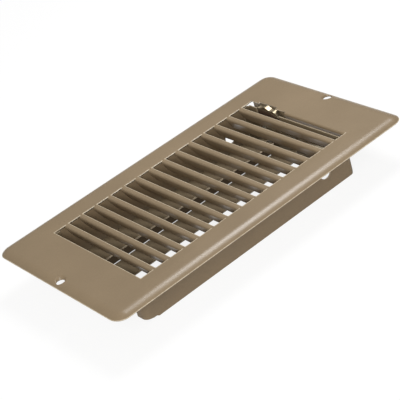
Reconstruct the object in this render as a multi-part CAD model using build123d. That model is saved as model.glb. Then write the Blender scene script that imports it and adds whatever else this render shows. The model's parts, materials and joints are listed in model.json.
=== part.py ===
from build123d import *
from math import asin, atan2, cos, degrees, hypot, pi, radians, sin, tan
import os

# Floor register: a stamped steel grille over a shallow duct box with a three-leaf damper.
# X runs along the length, Y across, Z up. The origin is on the ground under the middle of the
# face. The far side is +Y, and the far end, where the thumb lever is, is +X. Millimetres.

# Face plate
face_length = 254.0
face_width = 139.7
face_top = 31.5
face_sheet = 0.9
rim_band = 7.35
rim_drop = 2.9
face_corner = 9.0

# Slots, and the fins folded down out of them
slot_count = 15
slot_inset = 35.19
slot_web = 2.08
slot_end_gap = 0.6
slot_corner = 0.8
fin_bend = 1.6
fin_angle = 113.0
fin_straight = 7.4
fin_end_gap = 0.3
fin_corner = 4.5

# Screw holes, in pressed dimples on the rim
screw_inset = 5.4
screw_hole = 5.8
screw_edge = 0.4
dimple_lip = 0.8
dimple_slope = 45.0

# Side walls of the duct box
box_side_inset = 19.85
box_near_inset = 29.0
box_far_inset = 35.5
wall_sheet = 0.8
wall_bend = 1.6
box_corner = 5.0
flange_reach = 8.0
flap_reach = 10.5
flap_drop = 8.0
side_hole = 9.5
side_hole_inset = 25.9
side_hole_drop = 16.6
near_step_start = 7.3
near_step_run = 2.1
near_step_rise = 1.5
far_clip_run = 2.5
far_clip_rise = 3.2

# End plates that carry the damper
plate_sheet = 0.8
near_plate_setback = 4.6
far_plate_setback = 4.1
plate_bend = 1.6
plate_return = 6.0
near_plate_top_drop = 1.4
far_plate_top_drop = 1.4
plate_foot = 0.5
slit_length = 8.0
slit_width = 2.0
slit_angle = 36.0
slit_setback = 6.5
slit_drop = 15.2

# Damper leaves
leaf_gap = 0.6
leaf_wall_gap = 1.5
leaf_sheet = 0.6
leaf_bend = 1.2
leaf_corner = 2.0
leaf_axis_drop = 19.5
leaf_offset = 3.3
leaf_tilt = 10.8
leaf_travel = 40.0
near_ear_gap = 0.7
far_ear_gap = 1.0
near_tongue = 3.0
far_tongue = 7.1
ear_width = 9.0
ear_margin = 2.2
ear_corner = 3.0

# Link bar
crank_radius = 5.0
bar_sheet = 0.8
bar_height = 3.6
bar_gap = 0.1
bar_end = 3.0

# Thumb lever with its corrugated rim
lever_sheet = 0.9
lever_axis_drop = 26.0
lever_gap = 1.8
lever_hub = 5.0
rim_below_face = 0.3
rim_wave = 1.2
rim_half_waves = 5
rim_wave_angle = 22.0
rim_near_angle = -27.5
rim_width = 3.8
pin_slot_play = 0.4
washer_outer = 3.2
washer_sheet = 0.5

# Window in the last fin, and cutout in the face, for the thumb lever
window_near_reach = 19.5
window_far_reach = 17.0
cutout_near_reach = 9.0
cutout_far_reach = 9.0
cutout_gap = 0.5

# Notch and tab in the far end plate's top, and the guard behind the thumb lever
notch_near_reach = 17.5
notch_far_reach = 6.0
notch_depth = 5.6
notch_corner = 1.0
tab_width = 8.5
tab_below_face = 0.4
guard_sheet = 0.7
guard_gap = 0.8
guard_flange = 6.0
guard_depth = 15.0
guard_bend = 1.6
guard_near_reach = 18.5
guard_far_reach = 18.4

# Rivets and fits
pivot_radius = 1.5
pivot_head = 2.3
link_pin = 1.2
link_head = 1.9
head_height = 0.7
small_head_height = 0.6
fixed_fit = 0.03
running_fit = 0.06
pin_play = 0.15
end_play = 0.1
window_play = 0.5

# Values that follow from the ones above
flat_length = face_length - 2 * rim_band
flat_width = face_width - 2 * rim_band
flat_corner = face_corner - rim_band
rim_radius = (rim_band ** 2 + rim_drop ** 2) / (2 * rim_drop)
rim_angle = degrees(asin(rim_band / rim_radius))
face_bottom = face_top - face_sheet
screw_spacing = face_length - 2 * screw_inset
box_width = face_width - 2 * box_side_inset
box_near = face_length / 2 - box_near_inset
box_far = face_length / 2 - box_far_inset
wall_inner = box_width / 2 - wall_sheet
side_hole_x = box_far - side_hole_inset
first_slot = slot_inset - face_length / 2
slot_pitch = (slot_web - 2 * first_slot) / slot_count
slot_width = slot_pitch - slot_web
slot_length = 2 * (wall_inner - slot_end_gap)
slot_edges = [first_slot + i * slot_pitch for i in range(slot_count)]
last_bend = slot_edges[-1] + slot_width
wall_start = -box_near + box_corner
wall_end = box_far - box_corner
web_top = face_bottom - wall_bend
near_plate_out = -box_near + near_plate_setback
near_plate_in = near_plate_out + plate_sheet
far_plate_out = box_far - far_plate_setback
far_plate_in = far_plate_out - plate_sheet
near_ear_x = near_plate_in + near_ear_gap
far_ear_x = far_plate_in - far_ear_gap
leaf_axis_z = face_top - leaf_axis_drop
leaf_pitch = (2 * (wall_inner - leaf_wall_gap) + leaf_gap) / 3
leaf_width = leaf_pitch - leaf_gap
leaf_rows = {"near": -leaf_pitch, "middle": 0.0, "far": leaf_pitch}
crank_closed = leaf_travel / 2
crank_rest = crank_closed - leaf_tilt
bar_out = far_ear_x - leaf_sheet - bar_gap
bar_in = bar_out - bar_sheet
pin_shift = -crank_radius * sin(radians(crank_rest))
pin_z = leaf_axis_z + crank_radius * cos(radians(crank_rest))
lever_in = far_plate_out + lever_gap
lever_out = lever_in + lever_sheet
lever_axis_z = face_top - lever_axis_drop
lever_tilt = degrees(atan2(-pin_shift, pin_z - lever_axis_z))
lever_pin_reach = hypot(pin_shift, pin_z - lever_axis_z)
rim_crest = lever_axis_drop - rim_below_face


def bent_strip(flat, bend, angle, straight, sheet):
    """Section of a strip that runs along +x under y = 0 and then bends down."""
    inner = bend - sheet

    def on_arc(radius, at):
        return (flat + radius * sin(radians(at)), radius * cos(radians(at)) - bend)

    def beyond(point):
        return (point[0] + straight * cos(radians(angle)), point[1] - straight * sin(radians(angle)))

    outer_end = on_arc(bend, angle)
    inner_end = on_arc(inner, angle)
    lines = ThreePointArc((flat, 0), on_arc(bend, angle / 2), outer_end)
    lines += Polyline(outer_end, beyond(outer_end), beyond(inner_end), inner_end)
    lines += ThreePointArc(inner_end, on_arc(inner, angle / 2), (flat, -sheet))
    if flat > 0:
        lines += Polyline((flat, -sheet), (0, -sheet), (0, 0), (flat, 0))
    else:
        lines += Line((flat, -sheet), (flat, 0))
    return make_face(lines)


def across(shape, x, y, z, way=1):
    """Lay a shape made along Z along X, pointing the given way, and place it."""
    return Pos(x, y, z) * Rot(0, 90 * way, 0) * shape


def rivet(radius, head_radius, head, grip, tail):
    """A rivet along Z: its head below z = 0, then its shank, then its closed end."""
    down = (Align.CENTER, Align.CENTER, Align.MAX)
    up = (Align.CENTER, Align.CENTER, Align.MIN)
    shape = Cylinder(head_radius, head, align=down) + Cylinder(radius, grip, align=up)
    shape += Pos(0, 0, grip) * Cylinder(head_radius, tail, align=up)
    rings = shape.edges().filter_by(GeomType.CIRCLE).sort_by(Axis.Z)
    return fillet([rings[0], rings[-1]], min(head, tail) / 3)


def rim():
    """The curved band round the edge of the face, with its rounded corners."""
    sheet_radius = rim_radius - face_sheet

    def on_arc(radius, at):
        return (radius * sin(radians(at)), rim_radius - radius * cos(radians(at)))

    def arc(radius, first, last):
        middle = (first + last) / 2
        return ThreePointArc(on_arc(radius, first), on_arc(radius, middle), on_arc(radius, last))

    lines = arc(rim_radius, 0, rim_angle)
    lines += Line(on_arc(rim_radius, rim_angle), on_arc(sheet_radius, rim_angle))
    lines += arc(sheet_radius, rim_angle, 0)
    lines += Line(on_arc(sheet_radius, 0), on_arc(rim_radius, 0))
    flat = Pos(0, 0, face_top) * RectangleRounded(flat_length, flat_width, flat_corner)
    path = flat.face().outer_wire()
    ahead = path % 0
    side = Plane(origin=path @ 0, x_dir=ahead.cross(Vector(0, 0, 1)), z_dir=ahead)
    return sweep(side * make_face(lines), path)


def fin():
    """One fin, folded down past square from a slot's far edge at x = 0."""
    side = Plane(origin=(0, 0, face_top), x_dir=(-1, 0, 0), z_dir=(0, 1, 0))
    section = bent_strip(0, fin_bend, fin_angle, fin_straight, face_sheet)
    shape = extrude(side * section, slot_length / 2 - fin_end_gap, both=True)
    corners = [
        edge for edge in shape.edges()
        if abs(edge.length - face_sheet) < 0.01 and edge.center().Z < face_top - fin_straight
    ]
    return fillet(corners, fin_corner)


def cone(radius, low, high):
    """A cone that opens upwards from the given radius at its foot."""
    run = (high - low) / tan(radians(dimple_slope))
    outline = Polyline((0, low), (radius, low), (radius + run, high), (0, high), close=True)
    return revolve(Plane.XZ * make_face(outline), Axis.Z)


def under_rim():
    """The space below the top of the face round the screw hole at the far end."""
    edge = (rim_band, rim_drop)
    middle = (
        rim_radius * sin(radians(rim_angle / 2)), rim_radius * (1 - cos(radians(rim_angle / 2))))
    lines = ThreePointArc((0, 0), middle, edge)
    lines += Polyline(
        edge, (rim_band, 2 * rim_drop), (-face_corner, 2 * rim_drop), (-face_corner, 0), (0, 0))
    side = Plane(origin=(flat_length / 2, 0, face_top), x_dir=(1, 0, 0), z_dir=(0, 1, 0))
    return extrude(side * make_face(lines), face_corner, both=True)


def dimples(plate):
    """Press a dimple with a screw hole into each end of the face."""
    foot = face_top - rim_drop
    hole = screw_hole / 2
    place = Pos(screw_spacing / 2, 0, 0)
    wall = (place * cone(hole + dimple_lip, foot, face_top)) & under_rim()
    coined = face_sheet - screw_edge
    space = cone(hole, foot + face_sheet, face_top + face_sheet)
    space += Pos(0, 0, foot) * Cylinder(hole, 2 * face_sheet)
    space = place * (space + Pos(0, 0, foot + coined) * Rot(180, 0, 0) * cone(hole, 0, 2 * coined))
    for turn in (0, 180):
        plate += Rot(0, 0, turn) * wall
        plate -= Rot(0, 0, turn) * space
    return plate


def window():
    """What is cut out of the last fin and the face to let the thumb lever through."""
    middle = leaf_pitch + (window_far_reach - window_near_reach) / 2
    width = window_near_reach + window_far_reach
    bend = Pos(last_bend - fin_bend, middle, face_top) * Box(
        2 * fin_bend, width, 2 * lever_axis_drop)
    blade = Pos(last_bend, middle, face_bottom) * Box(
        fin_straight, width, lever_axis_drop, align=(Align.CENTER, Align.CENTER, Align.MAX))
    reach = lever_in + rim_width + cutout_gap - last_bend
    cutout_middle = leaf_pitch + (cutout_far_reach - cutout_near_reach) / 2
    cutout = Pos(last_bend, cutout_middle, face_top) * Box(
        reach, cutout_near_reach + cutout_far_reach, 4 * face_sheet,
        align=(Align.MIN, Align.CENTER, Align.CENTER))
    return [bend, blade, cutout]


def face_plate():
    """The whole face: its flat, rim, dimples, slots and fins are one stamping."""
    slot = extrude(
        Pos(0, 0, face_bottom) * RectangleRounded(slot_width, slot_length, slot_corner), face_sheet)
    flat = Pos(0, 0, face_bottom) * RectangleRounded(flat_length, flat_width, flat_corner)
    plate = extrude(flat, face_sheet) + rim()
    plate -= [Pos(edge + slot_width / 2, 0, 0) * slot for edge in slot_edges]
    blade = fin()
    plate += [Pos(edge + slot_width, 0, 0) * blade for edge in slot_edges]
    plate -= window()
    return dimples(plate)


def side_wall():
    """The near wall: a web with a flange under the face and a flap at each end."""
    length = box_near + box_far
    middle = (box_far - box_near) / 2
    outer = RectangleRounded(length, box_width, box_corner)
    inner = RectangleRounded(
        length - 2 * wall_sheet, box_width - 2 * wall_sheet, box_corner - wall_sheet)
    kept = Pos(0, -box_width / 2) * Rectangle(length, 2 * flap_reach)
    wall = extrude(Pos(middle, 0) * ((outer - inner) & kept), web_top)
    flap_top = face_top - flap_drop
    relief = Box(box_corner, box_width, web_top, align=(Align.MIN, Align.CENTER, Align.MIN))
    wall -= Pos(-box_near, 0, flap_top) * relief
    wall -= Pos(wall_end, 0, flap_top) * relief
    bend = Plane(origin=(wall_end, -wall_inner, web_top), x_dir=(0, 0, 1), z_dir=(-1, 0, 0))
    section = bent_strip(0, wall_bend, 90, flange_reach - wall_bend, wall_sheet)
    wall += extrude(bend * section, wall_end - wall_start)
    hole = Pos(side_hole_x, -box_width / 2, face_top - side_hole_drop) * Rot(90, 0, 0) * Cylinder(
        side_hole / 2, flap_reach)
    return wall - hole - foot_cuts()


def foot_cuts():
    """The step at the near end of a wall's foot, and the clipped corner at its far end."""
    step = -box_near + near_step_start
    near = Polyline(
        (step, near_step_rise), (step + near_step_run, 0), (step + near_step_run, -1),
        (-box_near - 1, -1), (-box_near - 1, near_step_rise), close=True)
    clip = box_far - far_clip_run
    far = Polyline(
        (clip, 0), (box_far, far_clip_rise), (box_far + 1, far_clip_rise), (box_far + 1, -1),
        (clip, -1), close=True)
    return [extrude(Plane.XZ * make_face(line), box_width, both=True) for line in (near, far)]


def end_plate(outside, way, top_drop):
    """A channel across the box; its web's outer face is at x = outside, facing the given way."""
    length = 4 * plate_return
    width = 2 * wall_inner
    outer = RectangleRounded(length, width, plate_bend)
    inner = RectangleRounded(
        length - 2 * plate_sheet, width - 2 * plate_sheet, plate_bend - plate_sheet)
    kept = Pos(way * length / 2, 0) * Rectangle(2 * plate_return, width)
    section = Pos(outside - way * length / 2, 0, plate_foot) * ((outer - inner) & kept)
    plate = extrude(section, face_top - top_drop - plate_foot)
    hole = Cylinder(pivot_radius + running_fit, 4 * plate_sheet)
    return plate - [across(hole, outside, y, leaf_axis_z) for y in leaf_rows.values()]


def far_end_plate():
    """The far end plate, with the lever's rivet hole, the drive pin's window and a slit.

    Its top is notched in front of the lever's fan, and a tab beside the notch fills the window.
    """
    side = Plane.YZ.offset(far_plate_in)
    swing = 2 * crank_radius * sin(radians(crank_closed))
    pin_size = 2 * (link_pin + window_play)
    cuts = Pos(leaf_pitch, leaf_axis_z + crank_radius) * SlotOverall(swing + pin_size, pin_size)
    cuts += Pos(leaf_pitch, lever_axis_z) * Circle(pivot_radius + fixed_fit)
    cuts += Pos(slit_setback - leaf_pitch, face_top - slit_drop) * Rot(0, 0, slit_angle) * SlotOverall(
        slit_length, slit_width)
    plate_top = face_top - far_plate_top_drop
    notch_middle = leaf_pitch + (notch_far_reach - notch_near_reach) / 2
    cuts += Pos(notch_middle, plate_top) * RectangleRounded(
        notch_near_reach + notch_far_reach, 2 * notch_depth, notch_corner)
    tab = Pos(leaf_pitch + notch_far_reach + tab_width / 2, plate_top) * Rectangle(
        tab_width, 2 * (far_plate_top_drop - tab_below_face))
    plate = end_plate(far_plate_out, 1, far_plate_top_drop) - extrude(side * cuts, plate_sheet)
    return plate + extrude(side * tab, plate_sheet)


def lever_guard():
    """A plate that hangs behind the thumb lever, with a bent flange under the face."""
    length = 4 * guard_flange
    depth = 4 * guard_depth
    outer = RectangleRounded(length, depth, guard_bend)
    inner = RectangleRounded(
        length - 2 * guard_sheet, depth - 2 * guard_sheet, guard_bend - guard_sheet)
    kept = Pos(-length / 2, depth / 2) * Rectangle(2 * guard_flange, 2 * guard_depth)
    guard_in = lever_in + rim_width + guard_gap
    section = Pos(guard_in + length / 2, face_bottom - depth / 2) * ((outer - inner) & kept)
    start = leaf_pitch - guard_near_reach
    return extrude(Plane.XZ.offset(-start) * section, -guard_near_reach - guard_far_reach)


def ear(start, length, top, way):
    """A tongue along the leaf that turns up into an ear."""
    underside = -leaf_offset - leaf_sheet / 2
    side = Plane(origin=(start, 0, underside), x_dir=(way, 0, 0), z_dir=(0, way, 0))
    rise = top - underside - leaf_bend
    section = bent_strip(length - leaf_bend, leaf_bend, 90, rise, leaf_sheet)
    shape = extrude(side * section, ear_width / 2, both=True)
    corners = shape.edges().filter_by(Axis.X).group_by(Axis.Z)[-1]
    shape = fillet(corners, ear_corner)
    return shape - across(Cylinder(pivot_radius + fixed_fit, 4 * length), start, 0, 0)


def leaf(row):
    """One damper leaf, made closed about its axis and then turned to its tilt."""
    near_end = near_ear_x + near_tongue
    far_end = far_ear_x - far_tongue
    panel = RectangleRounded(far_end - near_end, leaf_width, leaf_corner)
    shape = extrude(
        Pos((near_end + far_end) / 2, 0, -leaf_offset - leaf_sheet / 2) * panel, leaf_sheet)
    shape += ear(near_end, near_tongue, pivot_radius + ear_margin, -1)
    shape += ear(far_end, far_tongue, crank_radius + ear_margin, 1)
    crank = Cylinder(link_pin + running_fit, 2 * leaf_bend)
    turn = radians(crank_closed)
    shape -= across(crank, far_ear_x, -crank_radius * sin(turn), crank_radius * cos(turn))
    return Pos(0, leaf_rows[row], leaf_axis_z) * Rot(-leaf_tilt, 0, 0) * shape


def leaf_pivots(row):
    """The two rivets that a leaf turns on, one at each end."""
    y = leaf_rows[row]
    near_grip = leaf_sheet + near_ear_gap + plate_sheet + end_play
    far_grip = leaf_sheet + far_ear_gap + plate_sheet + end_play
    near = rivet(pivot_radius, pivot_head, head_height, near_grip, head_height)
    far = rivet(pivot_radius, pivot_head, head_height, far_grip, head_height)
    return Compound(children=[
        across(near, near_ear_x + leaf_sheet, y, leaf_axis_z, -1),
        across(far, far_ear_x - leaf_sheet, y, leaf_axis_z),
    ])


def link_bar():
    """The flat bar that ties the three cranks together."""
    shape = SlotOverall(2 * (leaf_pitch + bar_end), bar_height)
    for y in leaf_rows.values():
        shape -= Pos(y, 0) * Circle(link_pin + fixed_fit)
    return extrude(Plane.YZ.offset(bar_in) * Pos(pin_shift, pin_z) * shape, bar_sheet)


def link_rivets():
    """The rivets at the near and middle cranks."""
    grip = bar_sheet + bar_gap + leaf_sheet + end_play
    shape = rivet(link_pin, link_head, small_head_height, grip, small_head_height)
    return Compound(children=[
        across(shape, bar_in, leaf_rows[row] + pin_shift, pin_z) for row in ("near", "middle")
    ])


def drive_pin():
    """The long pin from the far crank through the end plate to the lever's slot."""
    grip = lever_out + end_play - bar_in
    shape = rivet(link_pin, link_head, small_head_height, grip, small_head_height)
    return across(shape, bar_in, leaf_pitch + pin_shift, pin_z)


def wave_line(inset, reverse):
    """The corrugated edge of the lever's rim, as a smooth line through its crests and dips."""
    steps = 4 * rim_half_waves
    points = []
    for i in range(steps + 1):
        part = i / 8
        radius = rim_crest - inset - rim_wave * (1 + cos(2 * pi * part)) / 2
        angle = radians(rim_near_angle + part * rim_wave_angle)
        points.append((radius * sin(angle), radius * cos(angle)))
    return Spline(points[::-1] if reverse else points)


def thumb_lever():
    """A plate that swings behind the end plate, with its rim bent out as a thumb grip."""
    edge = wave_line(0, False)
    under = wave_line(lever_sheet, True)
    ribbon = make_face(
        edge + Line(edge @ 1, under @ 0) + under + Line(under @ 1, edge @ 0))
    fan = make_face(
        edge + Polyline(edge @ 1, (lever_hub, 0), (-lever_hub, 0), edge @ 0)) + Circle(lever_hub)
    fan -= Circle(pivot_radius + running_fit)
    pin_width = 2 * (link_pin + pin_play)
    fan -= Pos(0, lever_pin_reach) * Rot(0, 0, 90) * SlotOverall(
        pin_width + 2 * pin_slot_play, pin_width)
    lever = extrude(Plane.YZ * fan, lever_sheet) + extrude(Plane.YZ * ribbon, rim_width)
    return Pos(lever_in, leaf_pitch, lever_axis_z) * Rot(lever_tilt, 0, 0) * lever


def lever_rivet():
    grip = plate_sheet + lever_gap + lever_sheet + end_play
    shape = rivet(pivot_radius, pivot_head, head_height, grip, head_height)
    return across(shape, far_plate_in, leaf_pitch, lever_axis_z)


def friction_washer():
    """A cupped washer, squeezed between the end plate and the lever, that holds the damper."""
    bore = pivot_radius + running_fit
    top = lever_gap - end_play
    outline = Polyline(
        (bore, top - washer_sheet), (washer_outer, 0), (washer_outer, washer_sheet), (bore, top),
        close=True)
    shape = revolve(Plane.XZ * make_face(outline), Axis.Z)
    return across(shape, far_plate_out, leaf_pitch, lever_axis_z)


def main():
    wall = side_wall()
    pieces = {
        "face_plate": face_plate(),
        "near_side_wall": wall,
        "far_side_wall": mirror(wall, about=Plane.XZ),
        "near_end_plate": end_plate(near_plate_out, -1, near_plate_top_drop),
        "far_end_plate": far_end_plate(),
        "lever_guard": lever_guard(),
        "link_bar": link_bar(),
        "link_rivets": link_rivets(),
        "lever_drive_pin": drive_pin(),
        "thumb_lever": thumb_lever(),
        "lever_rivet": lever_rivet(),
        "lever_friction_washer": friction_washer(),
    }
    for row in leaf_rows:
        pieces[f"{row}_damper_leaf"] = leaf(row)
        pieces[f"{row}_leaf_pivots"] = leaf_pivots(row)
    os.makedirs("parts", exist_ok=True)
    for name, piece in pieces.items():
        export_step(piece, f"parts/{name}.step")
    closed = -leaf_travel
    print("leaf axes at z", leaf_axis_z, "y", list(leaf_rows.values()))
    print("lever axis at y", leaf_pitch, "z", lever_axis_z, "tilt", lever_tilt)
    print("far crank pin at y", leaf_pitch + pin_shift, "z", pin_z)
    print("leaf range from rest", leaf_tilt, closed + leaf_tilt)


main()
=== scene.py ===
"""Dresses the floor register: sheet edges, domed rivets, finishes, and the studio round it."""

import json
from math import radians

import bmesh
import bpy
from bpy.props import FloatProperty, FloatVectorProperty, IntProperty, PointerProperty
from mathutils import Matrix, Vector

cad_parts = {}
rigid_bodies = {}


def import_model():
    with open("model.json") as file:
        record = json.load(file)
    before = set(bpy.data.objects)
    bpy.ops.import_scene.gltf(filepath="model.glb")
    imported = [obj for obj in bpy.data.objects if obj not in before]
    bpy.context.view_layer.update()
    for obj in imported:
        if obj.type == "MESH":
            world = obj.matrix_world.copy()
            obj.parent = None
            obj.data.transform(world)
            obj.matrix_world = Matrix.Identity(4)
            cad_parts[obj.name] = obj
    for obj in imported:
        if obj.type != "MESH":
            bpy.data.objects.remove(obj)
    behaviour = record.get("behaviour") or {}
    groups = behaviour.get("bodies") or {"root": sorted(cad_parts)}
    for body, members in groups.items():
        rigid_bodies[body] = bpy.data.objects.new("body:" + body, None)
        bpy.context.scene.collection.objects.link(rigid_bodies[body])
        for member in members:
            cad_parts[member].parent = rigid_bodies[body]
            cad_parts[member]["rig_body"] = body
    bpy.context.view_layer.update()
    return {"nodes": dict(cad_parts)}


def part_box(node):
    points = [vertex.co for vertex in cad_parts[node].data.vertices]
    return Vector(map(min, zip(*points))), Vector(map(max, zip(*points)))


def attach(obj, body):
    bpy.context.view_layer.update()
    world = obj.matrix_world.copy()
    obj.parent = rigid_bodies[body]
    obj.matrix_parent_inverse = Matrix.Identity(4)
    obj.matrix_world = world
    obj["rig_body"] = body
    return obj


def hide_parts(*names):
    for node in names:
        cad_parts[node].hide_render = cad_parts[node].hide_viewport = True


bl_info = {
    "name": "Floor register",
    "version": (1, 0, 0),
    "blender": (4, 5, 0),
    "location": "View3D > Sidebar > Register",
    "description": "Dresses a stamped steel floor register and its studio",
    "category": "Object",
}

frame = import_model()

# The stamping's own sizes, in metres
SHEET = 0.0009
FACE_CORNER = 0.009
FIRST_SLOT = -0.09181
SLOT_COUNT = 15
SLOT_PITCH = 0.01238
SLOT_WIDTH = 0.0103
SLOT_END = 0.0486
LAST_SLOT_EDGE = FIRST_SLOT + (SLOT_COUNT - 1) * SLOT_PITCH + SLOT_WIDTH

# How far the painted highlight line at a slot's end reaches past it, in widths of the line
END_LINE = 1.6

# Heights between which the face's smooth coat turns into the dry one below it, and how much
# rougher that one is
SMOOTH_FROM = 0.029
DRY_BELOW = 0.025
DRY_ROUGHER = 0.25

# Distances from the lever's axis at which its brown coat starts to wear and is gone
COAT_WORN = 0.0226
COAT_GONE = 0.0236

# Rolled edges
LEVER_ROLL = 0.00004  # The lever's corrugations leave no room for a wider one.
DOME_STEPS = 4
FLAT_ANGLE = radians(0.4)
CUT_ANGLE = radians(35)
SHARP_ANGLE = radians(40)

# The floor: how brightly it glows to the camera, how much of the shadow it shows, the tone of the
# shadow painted as a dark strip under the box, and how far each side of the strip fades
FLOOR_GLOW = 0.88
FLOOR_FAINT = (0.14, 0.14, 0.14)
PAINTED_SHADOW_TONE = (0.034, 0.024, 0.015)
NEAR_FADE = 0.0006
FAR_FADE = 0.001


def linear(code):
    """An sRGB hex colour as the linear colour that the shaders take."""
    parts = [int(code[i:i + 2], 16) / 255 for i in (0, 2, 4)]
    return [c / 12.92 if c <= 0.04045 else ((c + 0.055) / 1.055) ** 2.4 for c in parts]


def colour(name, code, description):
    return FloatVectorProperty(
        name=name, description=description, default=linear(code), subtype="COLOR",
        size=3, min=0, max=1)


def length(name, metres, description):
    return FloatProperty(
        name=name, description=description, default=metres, min=0, unit="LENGTH",
        subtype="DISTANCE", precision=5)


def point(name, metres, description):
    return FloatVectorProperty(
        name=name, description=description, default=metres, size=len(metres), unit="LENGTH",
        subtype="TRANSLATION")


def power(name, watts, description):
    return FloatProperty(
        name=name, description=description, default=watts, min=0, subtype="POWER")


class RegisterFinish(bpy.types.PropertyGroup):
    """Colours of the finishes."""

    enamel: colour("Enamel", "907D63", "Baked enamel on the face and the duct box")
    # Paler enamel over cut edges: a thinner coat, and a painted highlight on the edge.
    thin_enamel_and_highlight: colour("Thin enamel", "D6C7AE", "The enamel where it runs thin over a cut edge")
    # Darker than the face's enamel: painted shade for the parts inside the box.
    inner: colour("Inner enamel", "827259", "Enamel inside the box, on the end plates and leaves")
    zinc: colour("Zinc", "B0A38B", "Galvanised steel of the lever's rim and the link bar")
    browned: colour("Browned steel", "5A4638", "Brown coat on the lever's fan")
    rivet: colour("Rivets", "A9A59B", "Plated steel rivets")
    spring: colour("Spring steel", "6E6A66", "Blued spring steel of the washer")
    floor: colour("Floor", "F4F3F1", "Floor and backdrop")


class RegisterSizes(bpy.types.PropertyGroup):
    """Sizes of the dressing, in metres."""

    edge_roll: length("Edge roll", 0.0002, "How far a cut edge is rounded over")
    # The line beside each cut edge is thinner enamel and a painted highlight.
    edge_line: length("Edge line", 0.0004, "Width of the thin enamel beside a cut edge")
    dome: length("Rivet dome", 0.0004, "How far a rivet head is rounded over")
    # A painted highlight: paler enamel along the far leaf's near edge, where light catches it.
    highlight_band: length("Rubbed band", 0.0018, "Width of the rubbed enamel along the far leaf's near edge")
    peel: length("Orange peel", 0.0016, "Spacing of the enamel's orange peel")
    spangle: length("Spangle", 0.004, "Size of the zinc's crystals")
    steps: IntProperty(
        name="Roll steps", description="Faces across a rolled edge", default=2, min=1, max=6)


class RegisterStudio(bpy.types.PropertyGroup):
    """The camera and the lights."""

    eye: point("Eye", (-0.41385, -0.67950, 0.50516), "Where the camera stands")
    aim: point("Aim", (-0.014547, -0.016268, 0.0315), "The point on the face that it looks at")
    roll: FloatProperty(
        name="Roll", description="Turn of the camera about its view", subtype="ANGLE",
        unit="ROTATION", default=radians(-17.398))
    lens: FloatProperty(
        name="Lens", description="Focal length in millimetres on a 36 mm sensor",
        default=123.84, min=10)
    key: power("Key light", 4.4, "Power of the light above the far end")
    key_place: point("Key place", (0.38, 0.145, 0.755), "Where the key light hangs")
    key_size: length("Key size", 0.38, "Width of the key light")
    fill: power("Fill light", 7.0, "Power of the light to the left of the camera")
    fill_place: point("Fill place", (-0.66, -0.70, 0.64), "Where the fill light stands")
    fill_size: length("Fill size", 0.55, "Width of the fill light")
    lamp_aim: point("Lamp aim", (0, 0, 0.02), "The point that both lights face")
    sky: FloatProperty(
        name="Room", description="Strength of the even light of the room", default=0.25, min=0)
    # Corners of the shadow painted as a dark strip on the floor under the box's far side
    shadow_strip_low: point("Strip from", (-0.092, 0.0238), "Near corner of the floor's dark strip")
    shadow_strip_high: point("Strip to", (0.088, 0.040), "Far corner of the floor's dark strip")


# Finishes

def add(tree, kind, settings=None, links=None):
    """Add a node, give its properties and sockets their settings, and link its inputs.

    A setting that is another node's socket is linked.
    """
    node = tree.nodes.new(kind)
    for key, value in {**(settings or {}), **(links or {})}.items():
        if isinstance(value, bpy.types.NodeSocket):
            tree.links.new(value, node.inputs[key])
        elif isinstance(key, str) and key in node.bl_rna.properties:
            setattr(node, key, value)
        else:
            node.inputs[key].default_value = value
    return node


def finish(name, settings=None):
    """A new material's node tree, its shader and its Object coordinates."""
    material = bpy.data.materials.new(name)
    material.use_nodes = True
    tree = material.node_tree
    tree.nodes.clear()
    shader = add(tree, "ShaderNodeBsdfPrincipled", settings)
    add(tree, "ShaderNodeOutputMaterial", links={"Surface": shader.outputs["BSDF"]})
    place = add(tree, "ShaderNodeTexCoord").outputs["Object"]
    return tree, shader, place


def edge_highlight_mask(tree, place, width):
    """1 in a thin line along the rim's cut edge and along the cut edges of the slots, where paler
    enamel is painted as thinner coat and as a painted highlight.
    """
    parts = add(tree, "ShaderNodeSeparateXYZ", links={"Vector": place})
    values = {axis: parts.outputs[axis] for axis in "XYZ"}
    far_end, far_side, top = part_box("face_plate")[1]
    first = FIRST_SLOT - width
    for name, operation, *inputs in (
            ("along", "ABSOLUTE", "X"),
            ("across", "ABSOLUTE", "Y"),
            # The border lies far enough from the middle of the rounded corner.
            ("past end", "SUBTRACT", "along", far_end - FACE_CORNER),
            ("past side", "SUBTRACT", "across", far_side - FACE_CORNER),
            ("end part", "MAXIMUM", "past end", 0.0),
            ("side part", "MAXIMUM", "past side", 0.0),
            ("end square", "MULTIPLY", "end part", "end part"),
            ("side square", "MULTIPLY", "side part", "side part"),
            ("square", "ADD", "end square", "side square"),
            ("from corner", "SQRT", "square"),
            ("border", "GREATER_THAN", "from corner", FACE_CORNER - width),
            # Slots repeat along the length. Each has a cut near side and two cut ends.
            ("step", "WRAP", "X", first + SLOT_PITCH, first),
            ("beside slot", "LESS_THAN", "step", FIRST_SLOT),
            ("short of ends", "LESS_THAN", "across", SLOT_END),
            ("side cut", "MULTIPLY", "beside slot", "short of ends"),
            ("end from", "GREATER_THAN", "across", SLOT_END - width),
            ("end to", "LESS_THAN", "across", SLOT_END + END_LINE * width),
            ("end line", "MULTIPLY", "end from", "end to"),
            ("along slot", "LESS_THAN", "step", FIRST_SLOT + SLOT_WIDTH),
            ("end cut", "MULTIPLY", "end line", "along slot"),
            ("cuts", "MAXIMUM", "side cut", "end cut"),
            # They stop at the first and last slot, and just under the sheet.
            ("from first", "GREATER_THAN", "X", first),
            ("to last", "LESS_THAN", "X", LAST_SLOT_EDGE),
            ("inside", "MULTIPLY", "from first", "to last"),
            ("upper", "GREATER_THAN", "Z", top - SHEET - width),
            ("shown", "MULTIPLY", "inside", "upper"),
            ("slots", "MULTIPLY", "cuts", "shown"),
            ("lines", "MAXIMUM", "border", "slots")):
        numbers = {i: values.get(source, source) for i, source in enumerate(inputs)}
        values[name] = add(
            tree, "ShaderNodeMath", {"operation": operation, **numbers}).outputs[0]
    return values["lines"]


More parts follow.
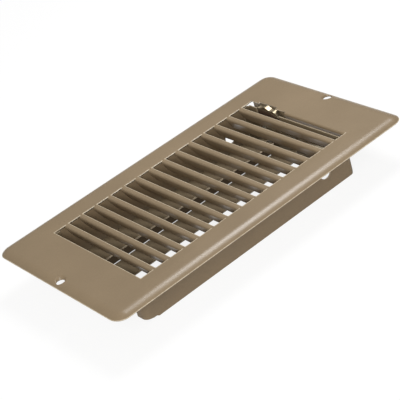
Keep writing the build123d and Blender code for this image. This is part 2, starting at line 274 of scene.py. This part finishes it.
def baked_enamel(name, tone, thin, peel, gloss, line=0.0):
    """Satin enamel, sprayed on stamped steel and baked.

    It gives a soft broad sheen with a faint orange peel. Over cut edges it is paler: thinner
    enamel, and a painted highlight there.
    """
    tree, shader, place = finish(name, {"Metallic": 0.0, "IOR": 1.5})
    # Slow drift of the tone over about 60 mm, as a sprayed coat has.
    drift = add(tree, "ShaderNodeTexNoise", {"Scale": 1 / 0.06, "Detail": 3.0}, {"Vector": place})
    # Fine mottle of the pigment, drawn at 1.3 mm, coarser than real so that it shows.
    mottle = add(
        tree, "ShaderNodeTexNoise", {"Scale": 1 / 0.0013, "Detail": 4.0, "Roughness": 0.6},
        {"Vector": place})
    blend = add(
        tree, "ShaderNodeMix", {"data_type": "FLOAT", 0: 0.35},
        {2: drift.outputs["Fac"], 3: mottle.outputs["Fac"]})
    ramp = add(tree, "ShaderNodeValToRGB", links={"Fac": blend.outputs[0]})
    ramp.color_ramp.elements[0].position = 0.3
    ramp.color_ramp.elements[0].color = [0.90 * c for c in tone] + [1]
    ramp.color_ramp.elements[1].position = 0.7
    ramp.color_ramp.elements[1].color = [1.10 * c for c in tone] + [1]
    edge = add(tree, "ShaderNodeAttribute", {"attribute_name": "rolled"})
    patchiness = add(
        tree, "ShaderNodeMapRange",
        {"From Min": 0.3, "From Max": 0.6, "To Min": 0.35, "To Max": 0.9},
        {"Value": mottle.outputs["Fac"]})
    # Cut edges and the lines beside them are painted paler: thinner enamel and a painted
    # highlight.
    bared = edge.outputs["Fac"]
    if line:
        lines = edge_highlight_mask(tree, place, line)
        both = add(tree, "ShaderNodeMath", {"operation": "MAXIMUM"}, {0: bared, 1: lines})
        bared = both.outputs[0]
    share = add(
        tree, "ShaderNodeMath", {"operation": "MULTIPLY"}, {0: bared, 1: patchiness.outputs["Result"]})
    mix = add(
        tree, "ShaderNodeMix", {"data_type": "RGBA", 7: [*thin, 1]},
        {0: share.outputs[0], 6: ramp.outputs["Color"]})
    tree.links.new(mix.outputs[2], shader.inputs["Base Color"])
    rough = add(
        tree, "ShaderNodeMapRange", {"To Min": gloss - 0.05, "To Max": gloss + 0.07},
        {"Value": drift.outputs["Fac"]})
    # Below the face the spray lands dry and dull.
    depth = add(tree, "ShaderNodeSeparateXYZ", links={"Vector": place})
    dry = add(
        tree, "ShaderNodeMapRange",
        {"From Min": SMOOTH_FROM, "From Max": DRY_BELOW, "To Max": DRY_ROUGHER},
        {"Value": depth.outputs["Z"]})
    dull = add(
        tree, "ShaderNodeMath", {"operation": "ADD"},
        {0: rough.outputs["Result"], 1: dry.outputs["Result"]})
    tree.links.new(dull.outputs[0], shader.inputs["Roughness"])
    skin = add(
        tree, "ShaderNodeTexNoise", {"Scale": 1 / peel, "Detail": 1.5}, {"Vector": place})
    bump = add(
        tree, "ShaderNodeBump", {"Strength": 0.25, "Distance": 0.00004},
        {"Height": skin.outputs["Fac"]})
    tree.links.new(bump.outputs["Normal"], shader.inputs["Normal"])


def galvanised_steel(name, tone, spangle, gloss):
    """Hot-dip galvanised sheet: flat crystals of zinc, each with its own tone and shine."""
    tree, shader, place = finish(name, {"Metallic": 1.0})
    crystals = add(
        tree, "ShaderNodeTexVoronoi", {"Scale": 1 / spangle, "Randomness": 1.0}, {"Vector": place})
    tones = add(tree, "ShaderNodeSeparateColor", links={"Color": crystals.outputs["Color"]})
    ramp = add(tree, "ShaderNodeValToRGB", links={"Fac": tones.outputs["Red"]})
    ramp.color_ramp.elements[0].color = [0.78 * c for c in tone] + [1]
    ramp.color_ramp.elements[1].color = [min(1, 1.15 * c) for c in tone] + [1]
    tree.links.new(ramp.outputs["Color"], shader.inputs["Base Color"])
    rough = add(
        tree, "ShaderNodeMapRange", {"To Min": gloss - 0.08, "To Max": gloss + 0.12},
        {"Value": tones.outputs["Green"]})
    tree.links.new(rough.outputs["Result"], shader.inputs["Roughness"])
    # Roll marks 0.25 mm apart along the sheet.
    stretch = add(
        tree, "ShaderNodeMapping", {"Scale": (1 / 0.00025, 1 / 0.004, 1 / 0.00025)},
        {"Vector": place})
    marks = add(tree, "ShaderNodeTexNoise", {"Scale": 1.0}, {"Vector": stretch.outputs["Vector"]})
    bump = add(
        tree, "ShaderNodeBump", {"Strength": 0.3, "Distance": 0.00003},
        {"Height": marks.outputs["Fac"]})
    tree.links.new(bump.outputs["Normal"], shader.inputs["Normal"])


def browned_steel(name, tone, metal):
    """Steel with a brown coat that a thumb has rubbed through on the rim.

    It gives a dull mottled brown fan under a bright metal edge.
    """
    tree, shader, place = finish(name)
    cloud = add(
        tree, "ShaderNodeTexNoise", {"Scale": 1 / 0.0025, "Detail": 5.0, "Roughness": 0.65},
        {"Vector": place})
    coat = add(tree, "ShaderNodeValToRGB", links={"Fac": cloud.outputs["Fac"]})
    coat.color_ramp.elements[0].position = 0.35
    coat.color_ramp.elements[0].color = [0.7 * c for c in tone] + [1]
    coat.color_ramp.elements[1].position = 0.65
    coat.color_ramp.elements[1].color = [1.35 * c for c in tone] + [1]
    # Distance from the lever's axis, which runs along X.
    low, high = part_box("lever_rivet")
    axis = [0, (low[1] + high[1]) / 2, (low[2] + high[2]) / 2]
    flat = add(
        tree, "ShaderNodeVectorMath", {"operation": "MULTIPLY", 1: (0, 1, 1)}, {0: place})
    reach = add(
        tree, "ShaderNodeVectorMath", {"operation": "DISTANCE", 1: axis},
        {0: flat.outputs["Vector"]})
    # The mottle makes the worn line ragged, by up to 0.8 mm either way.
    shift = add(
        tree, "ShaderNodeMath", {"operation": "SUBTRACT", 1: 0.5}, {0: cloud.outputs["Fac"]})
    ragged = add(
        tree, "ShaderNodeMath", {"operation": "MULTIPLY_ADD", 1: 0.0016},
        {0: shift.outputs[0], 2: reach.outputs["Value"]})
    bare = add(
        tree, "ShaderNodeMapRange", {"From Min": COAT_WORN, "From Max": COAT_GONE},
        {"Value": ragged.outputs[0]})
    mix = add(
        tree, "ShaderNodeMix", {"data_type": "RGBA", 7: [*metal, 1]},
        {0: bare.outputs["Result"], 6: coat.outputs["Color"]})
    tree.links.new(mix.outputs[2], shader.inputs["Base Color"])
    tree.links.new(bare.outputs["Result"], shader.inputs["Metallic"])
    rough = add(
        tree, "ShaderNodeMapRange", {"To Min": 0.55, "To Max": 0.42},
        {"Value": bare.outputs["Result"]})
    tree.links.new(rough.outputs["Result"], shader.inputs["Roughness"])
    bump = add(
        tree, "ShaderNodeBump", {"Strength": 0.35, "Distance": 0.00006},
        {"Height": cloud.outputs["Fac"]})
    tree.links.new(bump.outputs["Normal"], shader.inputs["Normal"])


def plated_steel(name, tone, gloss, grain):
    """Zinc-plated or blued steel: a dull metal shine with a fine pressed grain."""
    tree, shader, place = finish(name, {"Metallic": 1.0})
    cloud = add(
        tree, "ShaderNodeTexNoise", {"Scale": 1 / (6 * grain), "Detail": 4.0}, {"Vector": place})
    ramp = add(tree, "ShaderNodeValToRGB", links={"Fac": cloud.outputs["Fac"]})
    ramp.color_ramp.elements[0].position = 0.35
    ramp.color_ramp.elements[0].color = [0.8 * c for c in tone] + [1]
    ramp.color_ramp.elements[1].position = 0.65
    ramp.color_ramp.elements[1].color = [min(1, 1.15 * c) for c in tone] + [1]
    tree.links.new(ramp.outputs["Color"], shader.inputs["Base Color"])
    rough = add(
        tree, "ShaderNodeMapRange", {"To Min": gloss - 0.08, "To Max": gloss + 0.1},
        {"Value": cloud.outputs["Fac"]})
    tree.links.new(rough.outputs["Result"], shader.inputs["Roughness"])
    pits = add(tree, "ShaderNodeTexNoise", {"Scale": 1 / grain, "Detail": 2.0}, {"Vector": place})
    bump = add(
        tree, "ShaderNodeBump", {"Strength": 0.25, "Distance": 0.00002},
        {"Height": pits.outputs["Fac"]})
    tree.links.new(bump.outputs["Normal"], shader.inputs["Normal"])


# Pieces

def merged(node):
    """A mesh of a part with its loose triangles joined."""
    shape = bmesh.new()
    shape.from_mesh(frame["nodes"][node].data)
    bmesh.ops.remove_doubles(shape, verts=shape.verts, dist=1e-6)
    return shape


def dressed(node, material, roll=None, steps=None, whole=False, highlight_band=0.0):
    """A copy of a part with its cut edges rolled over, which stands for the part.

    Where whole is true, its flat triangles are joined first. With a highlight band, the enamel is
    also painted paler in a band of that width along the low Y edge: a painted highlight.
    """
    sizes = bpy.context.scene.register_sizes
    shape = merged(node)
    if whole:
        bmesh.ops.dissolve_limit(
            shape, angle_limit=FLAT_ANGLE, use_dissolve_boundaries=False, verts=shape.verts,
            edges=shape.edges)
    cut = [
        e for e in shape.edges
        if e.is_manifold and e.is_convex and e.calc_face_angle() > CUT_ANGLE]
    made = bmesh.ops.bevel(
        shape, geom=cut, offset=roll or sizes.edge_roll, offset_type="OFFSET",
        segments=steps or sizes.steps, profile=0.5, affect="EDGES", clamp_overlap=False,
        material=-1)
    # The rolled faces are painted paler: thinner enamel and a painted highlight.
    thin = set(made["faces"])
    # The band along the low Y edge is a painted highlight, not wear.
    if highlight_band:
        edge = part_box(node)[0][1] + highlight_band
        bmesh.ops.bisect_plane(
            shape, geom=[*shape.verts, *shape.edges, *shape.faces], dist=1e-7,
            plane_co=(0, edge, 0), plane_no=(0, 1, 0))
        thin |= {face for face in shape.faces if face.calc_center_median().y < edge}
    mark(shape, [face for face in thin if face.is_valid])
    placed(shape, node, material)


def mark(shape, faces):
    """Mark faces as cut edges, where the finish runs thin and is painted paler as a highlight."""
    rolled = shape.loops.layers.float.new("rolled")
    for face in faces:
        for loop in face.loops:
            loop[rolled] = 1.0


def placed(shape, node, material):
    """Finish a mesh as the piece that stands for a part and rides where the part rides."""
    name = f"{node}.dressed"
    mesh = bpy.data.meshes.new(name)
    bmesh.ops.triangulate(shape, faces=[f for f in shape.faces if len(f.verts) > 4])
    shape.to_mesh(mesh)
    shape.free()
    mesh.shade_smooth()
    mesh.set_sharp_from_angle(angle=SHARP_ANGLE)
    mesh.materials.append(material)
    piece = bpy.data.objects.new(name, mesh)
    bpy.context.scene.collection.objects.link(piece)
    even = piece.modifiers.new("even shading", "WEIGHTED_NORMAL")
    even.keep_sharp = True
    even.weight = 100
    source = frame["nodes"][node]
    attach(piece, source["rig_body"])
    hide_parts(node)


class REGISTER_OT_finishes(bpy.types.Operator):
    """Make the enamel, zinc, rivet and spring finishes"""

    bl_idname = "register.finishes"
    bl_label = "Finishes"

    def execute(self, context):
        tones, sizes = context.scene.register_finish, context.scene.register_sizes
        baked_enamel(
            "satin baked enamel on the face", tones.enamel, tones.thin_enamel_and_highlight, sizes.peel, 0.32,
            sizes.edge_line)
        baked_enamel("satin baked enamel", tones.enamel, tones.thin_enamel_and_highlight, sizes.peel, 0.36)
        # The inner enamel is the face's enamel made darker, as painted shade inside the box.
        baked_enamel("inner enamel darkened as painted shade", tones.inner, tones.thin_enamel_and_highlight, sizes.peel, 0.42)
        galvanised_steel("galvanised sheet steel", tones.zinc, sizes.spangle, 0.36)
        browned_steel("browned steel with a bared rim", tones.browned, tones.zinc)
        plated_steel("zinc-plated rivet steel", tones.rivet, 0.34, 0.0004)
        plated_steel("blued spring steel", tones.spring, 0.4, 0.0006)
        return {"FINISHED"}


class REGISTER_OT_face(bpy.types.Operator):
    """Mark the cut walls of the face and its slots, where the enamel runs thin and is painted
    paler as a highlight
    """

    bl_idname = "register.face"
    bl_label = "Face plate"

    def execute(self, context):
        shape = merged("face_plate")
        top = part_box("face_plate")[1][2]
        # The cut walls stand nearly upright within the sheet's thickness.
        cut = [
            face for face in shape.faces
            if abs(face.normal.z) < 0.2 and top - SHEET < face.calc_center_median().z < top]
        mark(shape, cut)
        placed(shape, "face_plate", bpy.data.materials["satin baked enamel on the face"])
        return {"FINISHED"}


class REGISTER_OT_box(bpy.types.Operator):
    """Roll the cut edges of the side walls, the end plates and the lever's guard"""

    bl_idname = "register.box"
    bl_label = "Duct box"

    def execute(self, context):
        for node in ("near_side_wall", "far_side_wall"):
            dressed(node, bpy.data.materials["satin baked enamel"])
        # The end plates and the guard take the darker inner enamel, which is painted shade.
        for node in ("near_end_plate", "far_end_plate", "lever_guard"):
            dressed(node, bpy.data.materials["inner enamel darkened as painted shade"])
        return {"FINISHED"}


class REGISTER_OT_leaves(bpy.types.Operator):
    """Roll the cut edges of the three damper leaves"""

    bl_idname = "register.leaves"
    bl_label = "Damper leaves"

    def execute(self, context):
        highlight_band = context.scene.register_sizes.highlight_band
        # Only the far leaf gets the painted highlight band along its near edge.
        for row, band in (("near", 0.0), ("middle", 0.0), ("far", highlight_band)):
            dressed(f"{row}_damper_leaf", bpy.data.materials["inner enamel darkened as painted shade"], highlight_band=band)
        return {"FINISHED"}


class REGISTER_OT_linkage(bpy.types.Operator):
    """Roll the cut edges of the lever and the link bar"""

    bl_idname = "register.linkage"
    bl_label = "Lever and link bar"

    def execute(self, context):
        dressed(
            "thumb_lever", bpy.data.materials["browned steel with a bared rim"], LEVER_ROLL)
        dressed("link_bar", bpy.data.materials["galvanised sheet steel"], whole=True)
        return {"FINISHED"}


class REGISTER_OT_rivets(bpy.types.Operator):
    """Finish the rivets, the pins and the washer"""

    bl_idname = "register.rivets"
    bl_label = "Rivets and washer"

    def execute(self, context):
        plated = bpy.data.materials["zinc-plated rivet steel"]
        dome = context.scene.register_sizes.dome
        for node in (
                "near_leaf_pivots", "middle_leaf_pivots", "far_leaf_pivots", "link_rivets",
                "lever_drive_pin", "lever_rivet"):
            dressed(node, plated, dome, DOME_STEPS)
        dressed("lever_friction_washer", bpy.data.materials["blued spring steel"])
        return {"FINISHED"}


# Studio

def stage_floor(tone, low, high):
    """A pale floor that stays nearly white to the camera and still takes the shadow.

    Between the two corners it shows a dark strip instead of its glow: a shadow painted onto the
    floor under the far side of the box.
    """
    bpy.ops.mesh.primitive_plane_add(size=8)
    floor = bpy.context.object
    floor.name = "studio_floor"
    material = bpy.data.materials.new("matt white sweep")
    material.use_nodes = True
    tree = material.node_tree
    tree.nodes.clear()
    lit = add(tree, "ShaderNodeBsdfDiffuse", {"Color": [*tone, 1]})
    faint = add(tree, "ShaderNodeBsdfDiffuse", {"Color": [*FLOOR_FAINT, 1]})
    place = add(tree, "ShaderNodeTexCoord").outputs["Object"]
    parts = add(tree, "ShaderNodeSeparateXYZ", links={"Vector": place})
    strip = 1.0
    for axis, near, far in zip("XY", low, high):
        for start, end in (
                (near - NEAR_FADE, near + NEAR_FADE), (far + FAR_FADE, far - FAR_FADE)):
            side = add(
                tree, "ShaderNodeMapRange",
                {"interpolation_type": "SMOOTHSTEP", "From Min": start, "From Max": end},
                {"Value": parts.outputs[axis]})
            strip = add(
                tree, "ShaderNodeMath", {"operation": "MULTIPLY", 1: strip},
                {0: side.outputs[0]}).outputs[0]
    glow = add(tree, "ShaderNodeEmission", {"Color": [1, 1, 1, 1], "Strength": FLOOR_GLOW})
    bright = add(tree, "ShaderNodeAddShader", links={0: faint.outputs[0], 1: glow.outputs[0]})
    # The strip glows a dim brown whatever the light falls on it: a painted shadow.
    dark = add(tree, "ShaderNodeEmission", {"Color": [*PAINTED_SHADOW_TONE, 1], "Strength": 1.0})
    seen = add(
        tree, "ShaderNodeMixShader", links={0: strip, 1: bright.outputs[0], 2: dark.outputs[0]})
    path = add(tree, "ShaderNodeLightPath")
    mirror = add(
        tree, "ShaderNodeMath", {"operation": "MAXIMUM"},
        {0: path.outputs["Is Glossy Ray"], 1: path.outputs["Is Transmission Ray"]})
    shown = add(
        tree, "ShaderNodeMath", {"operation": "MAXIMUM"},
        {0: path.outputs["Is Camera Ray"], 1: mirror.outputs[0]})
    mix = add(
        tree, "ShaderNodeMixShader", links={
            0: shown.outputs[0], 1: lit.outputs[0], 2: seen.outputs[0]})
    add(tree, "ShaderNodeOutputMaterial", links={"Surface": mix.outputs[0]})
    floor.data.materials.append(material)


def stage_room(strength):
    """Even light from the room, which the camera sees as white."""
    world = bpy.data.worlds.new("studio_room")
    bpy.context.scene.world = world
    world.use_nodes = True
    tree = world.node_tree
    tree.nodes.clear()
    soft = add(tree, "ShaderNodeBackground", {"Color": [1, 0.99, 0.97, 1], "Strength": strength})
    white = add(tree, "ShaderNodeBackground", {"Color": [1, 1, 1, 1], "Strength": 1.0})
    path = add(tree, "ShaderNodeLightPath")
    shown = add(
        tree, "ShaderNodeMath", {"operation": "MAXIMUM"},
        {0: path.outputs["Is Camera Ray"], 1: path.outputs["Is Transmission Ray"]})
    mix = add(
        tree, "ShaderNodeMixShader", links={
            0: shown.outputs[0], 1: soft.outputs[0], 2: white.outputs[0]})
    add(tree, "ShaderNodeOutputWorld", links={"Surface": mix.outputs[0]})


def lamp(name, place, aim, size, watts):
    """A round soft light that faces the point it is aimed at."""
    light = bpy.data.lights.new(name, "AREA")
    light.shape = "DISK"
    light.size = size
    light.energy = watts
    stand = bpy.data.objects.new(name, light)
    bpy.context.scene.collection.objects.link(stand)
    stand.location = place
    stand.rotation_euler = (Vector(aim) - Vector(place)).to_track_quat("-Z", "Y").to_euler()


class REGISTER_OT_studio(bpy.types.Operator):
    """Set up the camera, the lights, the floor and the room"""

    bl_idname = "register.studio"
    bl_label = "Studio"

    def execute(self, context):
        studio = context.scene.register_studio
        context.scene.view_settings.view_transform = "Standard"
        stage_floor(context.scene.register_finish.floor, studio.shadow_strip_low, studio.shadow_strip_high)
        stage_room(studio.sky)
        lamp("key", studio.key_place, studio.lamp_aim, studio.key_size, studio.key)
        lamp("fill", studio.fill_place, studio.lamp_aim, studio.fill_size, studio.fill)
        lens = bpy.data.cameras.new("camera")
        lens.lens = studio.lens
        lens.sensor_width = 36
        lens.clip_start, lens.clip_end = 0.05, 20
        lens.dof.use_dof = False
        camera = bpy.data.objects.new("camera", lens)
        context.scene.collection.objects.link(camera)
        look = (Vector(studio.aim) - Vector(studio.eye)).to_track_quat("-Z", "Y")
        turned = look.to_matrix().to_4x4() @ Matrix.Rotation(studio.roll, 4, "Z")
        camera.matrix_world = Matrix.Translation(studio.eye) @ turned
        context.scene.camera = camera
        return {"FINISHED"}


class REGISTER_PT_panel(bpy.types.Panel):
    """Lists the register's pieces, finishes and studio"""

    bl_idname = "REGISTER_PT_panel"
    bl_label = "Floor register"
    bl_space_type = "VIEW_3D"
    bl_region_type = "UI"
    bl_category = "Register"

    def draw(self, context):
        for operator in OPERATORS:
            self.layout.operator(operator.bl_idname)
        for group in ("register_finish", "register_sizes", "register_studio"):
            settings = getattr(context.scene, group)
            column = self.layout.column()
            for name in settings.__annotations__:
                column.prop(settings, name)


OPERATORS = [
    REGISTER_OT_finishes,
    REGISTER_OT_face,
    REGISTER_OT_box,
    REGISTER_OT_leaves,
    REGISTER_OT_linkage,
    REGISTER_OT_rivets,
    REGISTER_OT_studio,
]
GROUPS = {
    "register_finish": RegisterFinish,
    "register_sizes": RegisterSizes,
    "register_studio": RegisterStudio,
}


def register():
    for kind in [*GROUPS.values(), *OPERATORS, REGISTER_PT_panel]:
        bpy.utils.register_class(kind)
    for name, group in GROUPS.items():
        setattr(bpy.types.Scene, name, PointerProperty(type=group))


def unregister():
    for name in GROUPS:
        delattr(bpy.types.Scene, name)
    for kind in reversed([*GROUPS.values(), *OPERATORS, REGISTER_PT_panel]):
        bpy.utils.unregister_class(kind)


def main():
    register()
    bpy.ops.register.finishes()
    bpy.ops.register.face()
    bpy.ops.register.box()
    bpy.ops.register.leaves()
    bpy.ops.register.linkage()
    bpy.ops.register.rivets()
    bpy.ops.register.studio()


if __name__ == "__main__":
    main()
